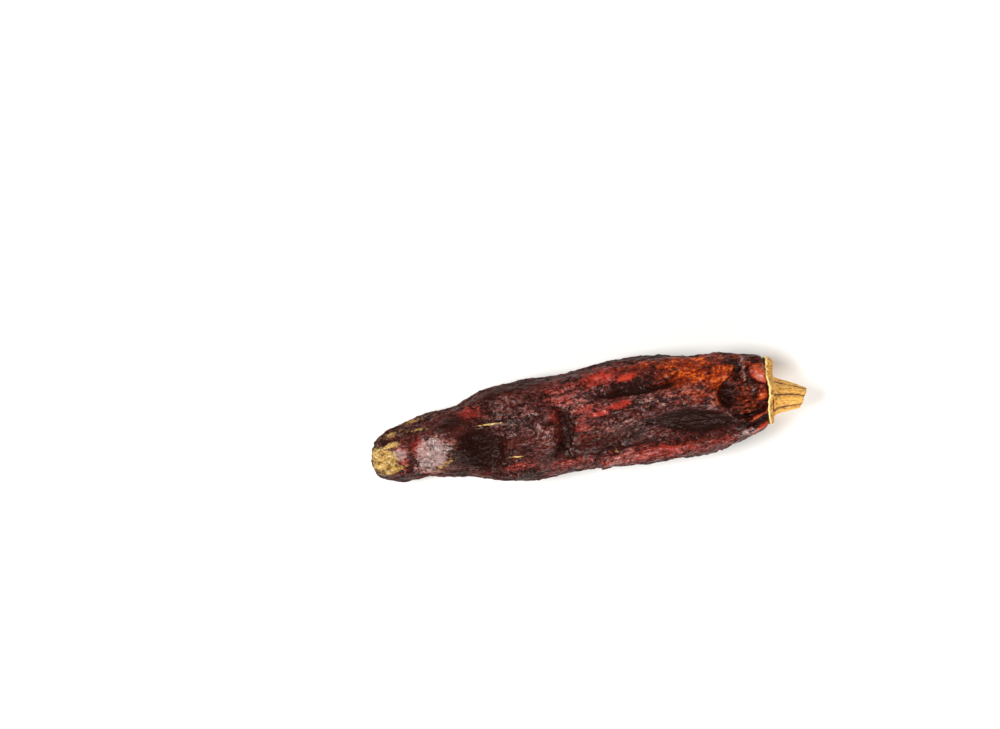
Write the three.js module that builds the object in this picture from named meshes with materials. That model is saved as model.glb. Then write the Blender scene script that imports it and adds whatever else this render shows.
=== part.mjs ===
// A dried chilli pepper lying on a surface, as picked: a flattened, wrinkled pod, the calyx that caps
// its wide end, and the short ribbed stem that stands out of the calyx.
// Millimetres, +Z up, +X along the pod from its tip towards the stem. The origin is on the surface,
// under the middle of the pepper.
import * as THREE from "three";
import { mergeVertices } from "three/addons/utils/BufferGeometryUtils.js";

const { clamp, lerp, smoothstep } = THREE.MathUtils;

// Lengthways places on the pod, measured along X.
const TIP_X = -36.4;
const BASE_X = 29.1;

// Half the pod's width at each place, seen from above. The tip is blunt and the base a flat shoulder.
const POD_HALF_WIDTHS = [
  [TIP_X, 0],
  [-36.0, 2.3],
  [-34.6, 3.6],
  [-32.0, 4.6],
  [-26.0, 5.3],
  [-21.5, 5.9],
  [-16.5, 7.55],
  [-10.0, 8.27],
  [-3.0, 8.17],
  [3.0, 8.62],
  [9.0, 8.95],
  [15.0, 8.6],
  [22.0, 7.85],
  [26.2, 6.85],
  [28.4, 5.9],
  [28.95, 4.4],
  [29.05, 2.2],
  [BASE_X, 0],
];
// Where the middle of the width runs, because the pod isn't quite straight.
const POD_MIDDLE = [
  [TIP_X, -1.6],
  [-33.0, -1.2],
  [-27.0, -0.4],
  [-17.0, -0.35],
  [-10.0, -0.47],
  [-3.0, -0.35],
  [5.0, -0.2],
  [12.0, -0.25],
  [18.5, -0.85],
  [BASE_X, -0.45],
];
// The height of the middle of the pod's thickness, before its weight presses the underside flat.
const POD_LEVEL = [
  [TIP_X, 2.7],
  [-32.0, 2.7],
  [-24.0, 3.3],
  [-15.0, 4.2],
  [-5.0, 4.55],
  [4.0, 4.95],
  [14.0, 4.9],
  [22.0, 5.0],
  [BASE_X, 5.25],
];
// The pod's thickness there, as a share of its width.
const POD_FLATNESS = [
  [TIP_X, 0.5],
  [-33.0, 0.6],
  [-25.0, 0.72],
  [-16.0, 0.61],
  [8.0, 0.61],
  [20.0, 0.68],
  [26.0, 0.79],
  [BASE_X, 0.86],
];
const POD_SQUARENESS = 2.3; // 2 is an oval section, and more is a boxier one
const POD_STEPS = 66;
const POD_SIDES = 44;

// Folds that drying left in the back: each is a hollow that runs from one place to another, as [x, y].
const POD_HOLLOWS = [
  { name: "sunken shoulder", from: [23.8, 0.6], to: [26.6, -0.8], reach: 2.9, depth: 2.5 },
  { name: "groove on the far side", from: [1.5, 4.2], to: [18.0, 3.9], reach: 1.5, depth: 1.1 },
  { name: "valley on the near side", from: [6.5, -5.2], to: [23.0, -4.6], reach: 2.3, depth: 1.7 },
  { name: "crease past the seed bump", from: [-3.9, 1.6], to: [-4.6, -3.9], reach: 1.3, depth: 1.2 },
  { name: "dip below the knee", from: [-15.3, 2.0], to: [-16.6, -4.6], reach: 2.6, depth: 1.6 },
  { name: "groove behind the tip", from: [-28.8, 2.6], to: [-29.2, -3.4], reach: 1.0, depth: 0.6 },
];
// Places where the skin stands out over a seed or a fold.
const POD_BUMPS = [
  { name: "seed bump", from: [-7.6, 0.4], to: [-7.8, -1.8], reach: 2.4, height: 0.9 },
  { name: "knee towards the tip", from: [-22.5, 1.2], to: [-22.0, -2.0], reach: 2.8, height: 0.7 },
  { name: "ridge on the far side", from: [3.0, 6.4], to: [14.0, 6.2], reach: 1.6, height: 0.5 },
];

// The calyx sits flat on the pod's base, and the stem stands out of it.
const STALK_AT = new THREE.Vector3(29.8, -0.45, 5.25);
const BASE_SKEW = 0.08; // how far the pod's base and the calyx slope towards the stem, for each mm across

const CALYX_RADIUS = 5.5;
const CALYX_OVAL = 0.88; // its height as a share of its width
const CALYX_DEPTH = 1.1;
const CALYX_RIM = 0.4;
const CALYX_LOBES = 5;
const CALYX_LOBE_RISE = 0.035; // how far each lobe reaches past the mean radius, as a share of it
const CALYX_LOBE_CURL = 0.25; // how far each lobe's rim curls back along the stem
const CALYX_STEPS = 14;
const CALYX_SIDES = 40;

const STEM_BASE_RADIUS = 2.8;
const STEM_END_RADIUS = 1.5;
const STEM_LENGTH = 4.4;
const STEM_RIBS = 7;
const STEM_RIB_DEPTH = 0.06; // as a share of the radius
const STEM_CUT_SLANT = 0.58; // how far the cut end slopes back, for each mm across
const STEM_LEAN = -0.25; // how far the stem leans towards the near side, for each mm along it
const STEM_STEPS = 14;
const STEM_SIDES = 40;
const STEM_DROP_Y = -1.0; // the stem leaves the calyx a little below its middle
const GAP = 0.3; // between one piece and the next

// The value at x on a smooth line through [x, value] points.
function at(points, x) {
  const next = points.findIndex(([px]) => px >= x);
  if (next < 1) return points[next === 0 ? 0 : points.length - 1][1];
  const [x0, v0] = points[next - 1];
  const [x1, v1] = points[next];
  return lerp(v0, v1, smoothstep(x, x0, x1) * 0.5 + ((x - x0) / (x1 - x0)) * 0.5);
}

// A closed surface turned about X from [x, radius] points.
function turned(profile, steps, sides) {
  const line = new THREE.SplineCurve(profile.map(([x, radius]) => new THREE.Vector2(radius, x)));
  return closed(new THREE.LatheGeometry(line.getSpacedPoints(steps), sides).rotateZ(-Math.PI / 2));
}

// The same surface with the vertices along its seam joined.
function closed(geometry) {
  geometry.deleteAttribute("normal");
  geometry.deleteAttribute("uv");
  return mergeVertices(geometry);
}

// Moves every vertex of a geometry with move(point).
function shaped(geometry, move) {
  const position = geometry.getAttribute("position");
  const point = new THREE.Vector3();
  for (let i = 0; i < position.count; i++) {
    move(point.fromBufferAttribute(position, i));
    position.setXYZ(i, point.x, point.y, point.z);
  }
  geometry.computeVertexNormals();
  return geometry;
}

// How strongly a fold acts at (x, y): 1 along its line and fading over its reach.
function foldAt(fold, x, y) {
  const from = new THREE.Vector3(...fold.from, 0);
  const to = new THREE.Vector3(...fold.to, 0);
  const here = new THREE.Vector3(x, y, 0);
  const nearest = new THREE.Line3(from, to).closestPointToPoint(here, true, new THREE.Vector3());
  return Math.exp(-((here.distanceTo(nearest) / fold.reach) ** 2));
}

function podMesh() {
  const geometry = shaped(turned(POD_HALF_WIDTHS, POD_STEPS, POD_SIDES), (p) => {
    const level = at(POD_LEVEL, p.x);
    const turn = Math.atan2(p.z, p.y);
    const square =
      (Math.abs(Math.cos(turn)) ** POD_SQUARENESS + Math.abs(Math.sin(turn)) ** POD_SQUARENESS) **
      (-1 / POD_SQUARENESS);
    p.z = level + p.z * square * at(POD_FLATNESS, p.x);
    p.y = p.y * square + at(POD_MIDDLE, p.x);
    const onBack = smoothstep(p.z, level, level + 2);
    for (const hollow of POD_HOLLOWS) p.z -= onBack * hollow.depth * foldAt(hollow, p.x, p.y);
    for (const bump of POD_BUMPS) p.z += onBack * bump.height * foldAt(bump, p.x, p.y);
    p.z = Math.max(p.z, 0);
    p.x += BASE_SKEW * (p.y - STALK_AT.y) * smoothstep(p.x, 20, BASE_X);
  });
  const skin = new THREE.MeshStandardMaterial({ color: 0x4a1712, roughness: 0.42, metalness: 0 });
  const mesh = new THREE.Mesh(geometry, skin);
  mesh.name = "pod";
  return mesh;
}

// A shallow lobed dish, hollow towards the pod, in a frame whose X is the stalk's axis.
function calyxMesh() {
  const profile = [
    [0, 0],
    [0, CALYX_RADIUS * 0.5],
    [-CALYX_RIM * 0.4, CALYX_RADIUS * 0.86],
    [-CALYX_RIM, CALYX_RADIUS],
    [0.1, CALYX_RADIUS * 1.02],
    [CALYX_DEPTH * 0.6, CALYX_RADIUS * 0.84],
    [CALYX_DEPTH * 0.9, CALYX_RADIUS * 0.55],
    [CALYX_DEPTH, CALYX_RADIUS * 0.25],
    [CALYX_DEPTH, 0],
  ];
  const geometry = shaped(turned(profile, CALYX_STEPS, CALYX_SIDES), (p) => {
    const turn = Math.atan2(p.z, p.y);
    const out = clamp(Math.hypot(p.y, p.z) / CALYX_RADIUS, 0, 1) ** 3;
    const wave = Math.cos(CALYX_LOBES * turn) * out;
    p.x += CALYX_LOBE_CURL * wave + BASE_SKEW * p.y;
    p.y *= 1 + CALYX_LOBE_RISE * wave;
    p.z *= (1 + CALYX_LOBE_RISE * wave) * CALYX_OVAL;
  });
  const straw = new THREE.MeshStandardMaterial({ color: 0xc39a55, roughness: 0.75, metalness: 0 });
  const mesh = new THREE.Mesh(geometry, straw);
  mesh.name = "calyx";
  return mesh;
}

// A tapering ribbed stub with a slanting cut end, in the same frame as the calyx.
function stemMesh() {
  const profile = [
    [0, 0],
    [0, STEM_BASE_RADIUS * 0.6],
    [0.15, STEM_BASE_RADIUS * 0.96],
    [STEM_LENGTH * 0.3, lerp(STEM_BASE_RADIUS, STEM_END_RADIUS, 0.35)],
    [STEM_LENGTH * 0.65, lerp(STEM_BASE_RADIUS, STEM_END_RADIUS, 0.72)],
    [STEM_LENGTH * 0.97, STEM_END_RADIUS],
    [STEM_LENGTH, STEM_END_RADIUS * 0.7],
    [STEM_LENGTH, 0],
  ];
  const geometry = shaped(turned(profile, STEM_STEPS, STEM_SIDES), (p) => {
    const turn = Math.atan2(p.z, p.y);
    const rib = 1 + STEM_RIB_DEPTH * Math.cos(STEM_RIBS * turn);
    p.y *= rib;
    p.z *= rib;
    const along = p.x;
    p.x += lerp(BASE_SKEW, STEM_CUT_SLANT, smoothstep(along, 0, STEM_LENGTH)) * p.y;
    p.y += STEM_LEAN * along;
  });
  const straw = new THREE.MeshStandardMaterial({ color: 0xc8a25c, roughness: 0.8, metalness: 0 });
  const mesh = new THREE.Mesh(geometry, straw);
  mesh.name = "stem";
  mesh.position.set(CALYX_DEPTH + GAP, STEM_DROP_Y, 0);
  return mesh;
}

const stalk = new THREE.Group();
stalk.position.copy(STALK_AT);
stalk.add(calyxMesh(), stemMesh());

const pepper = new THREE.Group();
pepper.add(podMesh(), stalk);

// The origin goes under the middle of the pepper.
const middle = new THREE.Box3().setFromObject(pepper, true).getCenter(new THREE.Vector3());
pepper.position.set(-middle.x, -middle.y, 0);

const part = new THREE.Group();
part.add(pepper);

export default part;
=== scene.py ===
# A dried chilli pepper on a pale table: the wrinkled pod, the calyx and the cut stem, each made as a
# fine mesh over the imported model, with soft lights round it and a camera that looks straight down.

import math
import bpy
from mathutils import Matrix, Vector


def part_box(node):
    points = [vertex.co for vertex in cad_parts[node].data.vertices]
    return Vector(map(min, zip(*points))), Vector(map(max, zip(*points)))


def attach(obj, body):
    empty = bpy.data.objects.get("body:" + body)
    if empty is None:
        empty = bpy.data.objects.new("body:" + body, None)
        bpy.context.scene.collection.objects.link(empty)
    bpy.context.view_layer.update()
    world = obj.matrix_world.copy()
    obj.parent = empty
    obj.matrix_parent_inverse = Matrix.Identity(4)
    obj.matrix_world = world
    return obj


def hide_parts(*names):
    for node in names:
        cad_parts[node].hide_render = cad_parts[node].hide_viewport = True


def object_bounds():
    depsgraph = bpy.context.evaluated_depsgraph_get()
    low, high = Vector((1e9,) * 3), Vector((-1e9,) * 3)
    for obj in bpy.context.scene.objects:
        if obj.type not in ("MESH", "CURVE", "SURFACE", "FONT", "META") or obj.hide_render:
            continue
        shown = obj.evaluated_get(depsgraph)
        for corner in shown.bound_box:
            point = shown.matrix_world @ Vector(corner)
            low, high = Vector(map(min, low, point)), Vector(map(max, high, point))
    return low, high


bl_info = {
    "name": "Dried Chilli Pepper",
    "version": (1, 0, 0),
    "blender": (4, 5, 0),
    "location": "3D View > Sidebar > Chilli",
    "description": "Models a dried chilli pepper, its calyx and its stem, and the table it lies on",
    "category": "Add Mesh",
}

from typing import NamedTuple

import bmesh
import bpy
import numpy as np
from bpy.props import FloatProperty, FloatVectorProperty, IntProperty, PointerProperty
from mathutils import Matrix, Vector, noise
from mathutils.bvhtree import BVHTree

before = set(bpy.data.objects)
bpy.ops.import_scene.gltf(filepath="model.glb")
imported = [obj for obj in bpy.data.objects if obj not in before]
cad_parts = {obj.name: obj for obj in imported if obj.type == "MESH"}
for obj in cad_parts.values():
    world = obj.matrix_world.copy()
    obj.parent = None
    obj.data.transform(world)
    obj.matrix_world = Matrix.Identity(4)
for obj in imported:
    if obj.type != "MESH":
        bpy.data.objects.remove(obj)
CAD_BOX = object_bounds()
POD_LOW, POD_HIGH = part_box("pod")
CALYX_LOW, CALYX_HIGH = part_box("calyx")

MM = 0.001  # the sculpting is in millimetres, and Blender's meshes are in metres


# ---------------------------------------------------------------- places on the pod
# A place is [along, across]: millimetres from the pod's tip towards the stem, and from its middle
# towards the far side.


class Fold(NamedTuple):
    """A ridge, or with a height below nothing a groove, that runs along a path over the pod's back."""

    name: str
    path: list  # places
    height: float  # mm
    left: float  # mm that it takes to fall away on the left of the path
    right: float  # and on the right
    pinch: float = 2.0  # 2 is a round crest, and less is a sharper one
    shade: float = 0.0  # how dark the shade painted along it is


class Mound(NamedTuple):
    """A round rise, or with a height below nothing a hollow, in the pod's back."""

    name: str
    place: tuple
    size: tuple  # mm along and across
    turn: float  # degrees
    height: float  # mm
    flat: float = 2.0  # 2 is a round top, and more is a flatter one


class Patch(NamedTuple):
    """A stretch of the pod's back whose finish differs."""

    finish: str  # one of FINISHES
    place: tuple
    size: tuple  # mm along and across
    turn: float  # degrees
    strength: float  # from 0 to 1
    crisp: float = 2.0  # 2 is a soft edge, and more is a crisper one


class Layer(NamedTuple):
    """Wrinkles of one size, all over the pod."""

    depth: float  # mm
    size: tuple  # mm from one to the next, along each axis
    seed: float


MOUNDS = [
    Mound("knee towards the tip", (13.6, -0.6), (3.0, 3.4), 10, 1.0, 2.4),
    Mound("hollow at the tip", (2.4, -1.5), (1.7, 2.3), 70, -0.55, 3),
    Mound("slope past the knee", (18.6, -2.0), (3.6, 3.0), -16, -0.6, 2.6),
    Mound("seed bump", (27.9, -1.6), (3.4, 4.4), -14, 0.75, 5),
    Mound("crown of the seed bump", (28.9, -1.0), (1.9, 2.4), -10, 0.4),
    Mound("plateau past the crescent", (37.5, 1.2), (4.5, 2.2), 0, 0.25),
    Mound("valley on the near side", (53.0, -3.5), (7.0, 1.8), -9, -0.8, 2.8),
    Mound("dip before the valley", (38.5, -3.9), (4.8, 1.4), 0, -0.4),
    Mound("far flank", (55.0, 6.2), (6.0, 1.6), 0, 0.2),
    Mound("shoulder crater", (62.1, 0.1), (4.1, 4.3), 0, -1.15, 3.8),
    Mound("deepest part of the crater", (59.8, 0.4), (1.8, 2.7), 24, -0.65, 2.8),
    Mound("lobe in the crater", (64.4, 2.6), (1.0, 1.7), 28, 1.5, 3),
    Mound("knob in the crater", (64.7, -0.6), (0.9, 1.1), -15, 1.2, 3),
]

FOLDS = [
    Fold("groove behind the tip", [(7.6, 2.8), (7.1, 0.9), (6.6, -0.8), (6.6, -4.2)],
         -0.35, 0.9, 0.85, 2.2, 0.5),
    Fold("notch in the tip", [(1.4, 2.0), (3.0, 1.5), (4.7, 1.7), (6.2, 2.4)], -0.4, 0.3, 0.4, 1.6, 0.7),
    Fold("edge of the tip's facet", [(4.3, 1.7), (6.8, 2.2), (9.6, 2.5), (12.0, 2.0)], 0.25, 0.6, 1.0),
    Fold("pale rim of the tip", [(0.3, -1.8), (1.2, -3.1), (2.9, -3.9), (4.8, -3.6)], 0.3, 0.6, 0.35),
    Fold("edge of the dark slope", [(19.9, 2.4), (21.7, 1.2), (22.7, -0.9), (22.6, -2.9), (21.6, -4.7),
                                    (20.1, -6.4)], 0.35, 1.2, 0.8),
    Fold("fold past the dark slope", [(23.4, 0.4), (24.6, -1.2), (24.6, -3.2), (23.6, -5.0)], 0.2, 0.5, 0.7),
    Fold("oblique fold a", [(33.6, 4.6), (35.2, 2.6), (36.0, 0.6)], -0.18, 0.3, 0.5),
    Fold("oblique fold b", [(24.6, 3.9), (26.4, 2.0), (29.4, 1.6), (30.6, 2.4)], -0.2, 0.35, 0.5, 2, 0.4),
    Fold("oblique fold c", [(35.4, -1.4), (37.6, -2.6), (41.4, -2.9), (44.6, -2.4)], -0.2, 0.4, 0.5),
    Fold("far fold a", [(20.9, 4.2), (24.8, 4.6), (27.3, 4.3), (30.3, 4.6)], -0.15, 0.35, 0.5),
    Fold("far fold b", [(19.9, 3.1), (23.7, 3.0), (26.3, 3.3), (29.2, 3.7)], -0.16, 0.4, 0.4),
    Fold("middle fold", [(22.6, -0.6), (24.2, -0.4), (26.3, -1.4), (25.4, -2.4)], -0.18, 0.35, 0.5),
    Fold("inside of the seed bump", [(28.1, 0.9), (27.1, -0.6), (27.6, -2.2)], -0.16, 0.35, 0.5),
    Fold("crescent", [(30.8, 3.4), (32.3, 2.0), (33.1, -0.2), (32.7, -2.1), (31.5, -3.9), (29.8, -5.3),
                      (28.2, -6.2)], -0.3, 1.0, 0.8, 2.0, 0.65),
    Fold("long groove", [(35.6, 3.9), (38.6, 3.4), (43.0, 3.2), (47.2, 3.2), (50.0, 3.5), (53.4, 4.2)],
         -0.35, 0.45, 0.42, 2.0, 0.8),
    Fold("ridge over the long groove", [(38.6, 4.9), (45.9, 4.8), (52.6, 5.2)], 0.25, 1.2, 0.8),
    Fold("ridge under the long groove", [(38.0, 2.2), (44.0, 2.0), (50.0, 2.2), (55.0, 2.5)], 0.25, 0.7, 1.2),
    Fold("groove in the middle", [(34.0, 1.2), (38.8, 1.4), (42.9, 1.6), (46.0, 1.2)], -0.14, 0.3, 0.45),
    Fold("low groove in the middle", [(36.0, -0.9), (39.1, -0.6), (42.5, -0.7), (45.8, -1.2)],
         -0.2, 0.4, 0.6),
    Fold("ridge over the valley", [(43.6, -1.6), (46.8, -0.8), (49.6, -0.3), (53.3, -0.1), (56.8, -1.1),
                                   (59.4, -2.8)], 0.4, 1.7, 0.7, 1.8),
    Fold("groove over the near rim", [(34.5, -5.2), (39.4, -5.5), (42.4, -5.4), (45.8, -5.2), (48.9, -4.7)],
         -0.3, 0.6, 0.6, 2, 0.4),
    Fold("near rim", [(36.0, -6.6), (42.4, -6.7), (48.9, -6.5), (54.0, -6.8), (61.0, -6.6)], 0.3, 0.8, 1.2),
    Fold("notch in the near rim", [(36.7, -6.4), (36.7, -7.4), (37.2, -9.2)], -0.5, 0.25, 0.4, 1.6),
    Fold("curl beside the notch", [(37.4, -9.2), (37.7, -7.8), (39.2, -7.2), (41.8, -7.3)], 0.3, 0.35, 0.5),
    Fold("crater's rim", [(63.4, 5.7), (62.0, 5.4), (60.2, 3.6), (58.8, 2.2), (57.5, 0.9), (57.5, -0.6),
                          (58.6, -2.1), (60.2, -3.7), (62.0, -4.4), (64.2, -4.6)], 0.55, 0.4, 1.2, 1.6),
    Fold("pillar in the crater", [(62.5, 6.2), (62.7, 5.0), (62.5, 3.2), (62.8, 1.0)], 1.0, 0.5, 0.45, 2.6),
    Fold("second pillar", [(63.5, 5.4), (63.5, 4.0), (63.6, 2.4)], 0.4, 0.3, 0.3, 1.8),
    Fold("slot beside the pillar", [(62.0, 5.2), (61.6, 3.8), (60.9, 1.8)], -0.5, 0.4, 0.45, 2, 0.95),
    Fold("slot before the lobe", [(63.4, 5.0), (63.3, 3.4), (63.8, 1.5), (65.4, 1.0)],
         -0.4, 0.28, 0.28, 2, 0.9),
    Fold("slot over the near folds", [(61.4, -3.9), (63.4, -3.1), (65.4, -1.9)], -0.5, 0.3, 0.3, 2, 1.0),
    Fold("slot between the near folds", [(61.6, -5.8), (63.6, -4.8), (65.6, -3.4)], -0.5, 0.32, 0.32, 2, 1.0),
    Fold("shoulder against the calyx", [(64.8, 7.5), (65.4, 4.0), (65.5, -0.2), (65.4, -4.0), (64.8, -7.5)],
         0.5, 0.8, 0.9),
    Fold("crater fold a", [(59.0, 1.4), (61.0, 0.8), (63.0, 0.9), (65.6, 0.6)], 0.3, 0.2, 0.35, 1.5),
    Fold("crater fold b", [(58.8, 0.2), (60.8, -0.1), (62.6, -0.9), (64.8, -1.2)], 0.3, 0.2, 0.4, 1.5),
    Fold("crater fold c", [(59.4, -1.2), (61.2, -1.4), (63.4, -2.0), (65.8, -1.9)], 0.35, 0.25, 0.4, 1.5),
    Fold("crater fold d", [(60.4, -2.7), (62.2, -2.4), (64.2, -2.9), (66.0, -2.8)], 0.3, 0.22, 0.35, 1.5),
    Fold("crater fold e", [(61.4, -4.9), (63.4, -4.0), (65.6, -2.6)], 0.9, 0.3, 0.4, 1.5),
    Fold("crater fold f", [(61.8, -6.6), (63.8, -5.6), (65.8, -4.0)], 0.7, 0.3, 0.4, 1.5),
    Fold("crater fold g", [(63.6, 5.9), (64.6, 5.1), (66.4, 4.4)], 0.4, 0.35, 0.35, 1.5),
]

PATCHES = [
    Patch("straw", (1.8, -1.2), (2.0, 2.5), 70, 1.0, 4),
    Patch("straw", (3.7, 0.9), (1.7, 0.5), 8, 0.8, 4),
    Patch("straw", (3.4, -3.2), (2.4, 0.5), 8, 0.7, 3),
    Patch("straw", (4.0, 2.6), (2.4, 0.5), 10, 0.4),
    Patch("straw", (8.4, 2.6), (2.2, 0.35), 4, 0.4),
    Patch("straw", (7.0, 4.3), (5.0, 0.5), 8, 0.3),
    Patch("straw", (11.8, -3.6), (2.0, 0.35), 30, 0.5),
    Patch("straw", (20.3, 1.75), (2.1, 0.15), -2, 1.0, 4),
    Patch("straw", (23.9, -4.15), (1.1, 0.12), -4, 0.9, 4),
    Patch("straw", (40.2, -5.9), (0.35, 0.13), -25, 0.9, 4),
    # Bloom patches: waxy bloom that is partly painted sheen, a paler colour where the facets catch the key
    # light.
    Patch("bloom_and_sheen", (9.9, -1.6), (3.3, 2.8), 40, 1.0, 6),
    Patch("bloom_and_sheen", (12.3, -1.0), (2.0, 1.1), 14, 0.8, 3),
    Patch("bloom_and_sheen", (4.7, -1.0), (1.2, 2.2), 90, 0.9, 3),
    Patch("bloom_and_sheen", (29.0, -1.0), (1.8, 2.6), -10, 0.25),
    Patch("bloom_and_sheen", (25.0, 2.6), (6.5, 3.2), 0, 0.2),
    Patch("bloom_and_sheen", (35.0, 2.6), (4.5, 2.8), 0, 0.25),
    Patch("bloom_and_sheen", (50.0, 1.9), (8.0, 1.5), 0, 0.3),
    Patch("bloom_and_sheen", (41.0, -2.0), (6.0, 1.9), 0, 0.22),
    Patch("bloom_and_sheen", (47.0, 1.4), (3.0, 1.1), 0, 0.55),
    Patch("bloom_and_sheen", (33.2, 4.5), (2.8, 1.3), 0, 0.4),
    Patch("bloom_and_sheen", (42.0, -6.8), (4.2, 1.0), 4, 0.45),
    Patch("bloom_and_sheen", (57.0, -0.4), (1.5, 1.2), 0, 0.5),
    Patch("bloom_and_sheen", (62.6, 3.4), (0.5, 2.2), 0, 0.55, 3),
    Patch("bloom_and_sheen", (62.0, -6.1), (1.4, 0.6), 25, 0.8),
    Patch("bloom_and_sheen", (59.2, -2.3), (1.4, 0.4), -45, 0.8),
    Patch("bloom_and_sheen", (64.2, 2.5), (0.7, 1.2), 28, 0.6, 3),
    Patch("crimson", (17.2, 4.0), (2.2, 1.1), 12, 0.6),
    Patch("crimson", (8.4, -0.4), (1.8, 2.0), 30, 0.7, 3),
    Patch("crimson", (5.2, -1.2), (1.2, 2.4), 0, 0.5),
    Patch("crimson", (32.6, 4.3), (3.6, 2.6), 0, 0.45),
    Patch("crimson", (36.4, 1.6), (2.6, 1.1), 0, 0.55),
    Patch("crimson", (38.4, 0.7), (1.8, 0.45), 4, 0.95, 3),
    Patch("crimson", (41.9, 1.6), (2.3, 0.65), 8, 0.85, 3),
    Patch("crimson", (43.7, 5.9), (2.0, 0.75), 8, 0.95, 3),
    Patch("crimson", (39.4, 6.5), (3.4, 1.4), 10, 0.75),
    Patch("crimson", (30.6, 1.2), (1.4, 1.0), 60, 0.45),
    Patch("crimson", (24.0, -5.8), (3.0, 0.9), 0, 0.35),
    Patch("crimson", (35.4, -1.4), (2.0, 2.4), 0, 0.35),
    Patch("crimson", (33.0, -6.8), (4.0, 1.0), 0, 0.4),
    Patch("crimson", (46.0, -7.1), (9.0, 1.4), 0, 0.55),
    Patch("crimson", (59.0, -7.0), (5.0, 1.3), 0, 0.25),
    Patch("crimson", (64.4, 2.6), (1.2, 1.8), 28, 0.85, 3.4),
    Patch("crimson", (64.7, -0.6), (0.9, 1.2), -15, 0.6, 3),
    Patch("crimson", (63.8, -4.0), (1.9, 0.28), 28, 1.0, 3),
    Patch("crimson", (64.0, -5.4), (1.7, 0.28), 35, 0.9, 3),
    Patch("crimson", (65.2, -2.6), (0.9, 1.2), 0, 0.5),
    Patch("rust", (53.5, 4.4), (5.4, 2.3), 6, 0.85, 3),
    Patch("rust", (58.6, 3.4), (3.0, 2.2), 25, 1.0, 3),
    Patch("rust", (54.5, 1.4), (4.4, 1.2), -8, 0.7),
    Patch("rust", (57.4, -0.2), (1.2, 0.8), -30, 0.8),
    Patch("rust", (54.0, 6.6), (6.5, 1.5), -3, 0.8, 3),
    Patch("rust", (46.5, 7.4), (4.0, 0.7), 0, 0.7),
    Patch("rust", (63.8, 4.6), (1.4, 0.6), -35, 0.8),
    Patch("rust", (61.8, 6.2), (2.4, 0.7), -8, 0.6),
    Patch("rust", (62.4, -0.9), (2.8, 3.3), 0, 0.42, 3),
    Patch("rust", (65.1, 3.0), (0.4, 1.8), 10, 0.7, 3),
    # Soot patches: dark skin that is partly painted shade, on slopes and steps that face away from the key
    # light.
    Patch("dark_skin_and_shade", (17.8, -2.0), (4.4, 3.9), -18, 0.95, 5),
    Patch("dark_skin_and_shade", (14.0, 2.6), (4.8, 1.6), 12, 0.75),
    Patch("dark_skin_and_shade", (24.6, 1.4), (1.8, 1.6), 0, 0.6),
    Patch("dark_skin_and_shade", (44.0, 3.9), (4.4, 0.8), 4, 0.6),
    Patch("dark_skin_and_shade", (53.5, -3.0), (7.0, 2.0), -9, 1.0, 7),
    Patch("dark_skin_and_shade", (62.0, -5.0), (2.2, 0.9), 8, 0.8),
    Patch("dark_skin_and_shade", (40.0, -3.6), (7.0, 1.9), 2, 0.6),
    Patch("dark_skin_and_shade", (50.0, 8.5), (14.0, 0.5), -5, 0.9, 3),
    Patch("dark_skin_and_shade", (45.0, 6.9), (3.0, 0.5), 0, 0.5),
    Patch("dark_skin_and_shade", (60.8, 5.2), (2.6, 0.5), -25, 0.6),
    Patch("dark_skin_and_shade", (64.0, 1.3), (2.2, 0.45), 0, 0.6),
    Patch("dark_skin_and_shade", (63.8, -3.0), (1.8, 0.4), 10, 0.6),
    Patch("dark_skin_and_shade", (26.0, 7.2), (10.0, 1.0), 8, 0.6),
    Patch("dark_skin_and_shade", (59.9, 0.4), (1.7, 3.0), 20, 0.6, 3),
    Patch("crumple", (62.4, 0.2), (3.2, 4.8), 0, 1.0, 4),
    Patch("crumple", (2.4, -1.0), (3.0, 2.8), 70, 0.6, 4),
]
# The bloom finish is waxy bloom that is partly painted sheen.
# The soot finish is dark skin that is partly painted shade.
FINISHES = ("straw", "bloom_and_sheen", "crimson", "rust", "dark_skin_and_shade", "crumple")  # the last is where it is crumpled

FOLD_FADE = 0.18  # share of a fold's path over which each of its ends fades
WRINKLES = 110  # random folds that run along the sides and the underside
WRINKLE_SEED = 8
WRINKLE_FADE = 0.9  # radians round the pod at which a random fold has died away
GIRTH = 7.0  # mm round the pod for each radian

BUCKLES = Layer(0.32, (5.5, 2.6, 2.6), 11.3)
CREASES = Layer(0.38, (3.8, 1.2, 1.2), 2.4)
CRINKLES = Layer(0.22, (1.5, 0.66, 0.66), 7.9)
GRAIN = Layer(0.06, (0.7, 0.4, 0.4), 4.6)
CRUMPLES = Layer(0.7, (1.9, 0.8, 0.8), 5.1)
CREST_RISE = 0.35  # lifts crinkled noise, so that it stands out about as far as it sinks
SWAY = 1.3  # mm by which the layers are bent out of line
SWAY_SIZE = (7, 3, 3)
SWAY_SEEDS = (3.1, 5.7, 9.2)


# ---------------------------------------------------------------- settings


def linear(hex_code):
    """An sRGB colour, written 0xRRGGBB, as linear red, green and blue."""
    shares = [(hex_code >> shift & 255) / 255 for shift in (16, 8, 0)]
    return [s / 12.92 if s <= 0.04045 else ((s + 0.055) / 1.055) ** 2.4 for s in shares]


def colour(name, description, hex_code):
    """A colour that the user can change."""
    return FloatVectorProperty(
        name=name, description=description, subtype="COLOR", min=0, max=1, default=linear(hex_code)
    )


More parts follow.
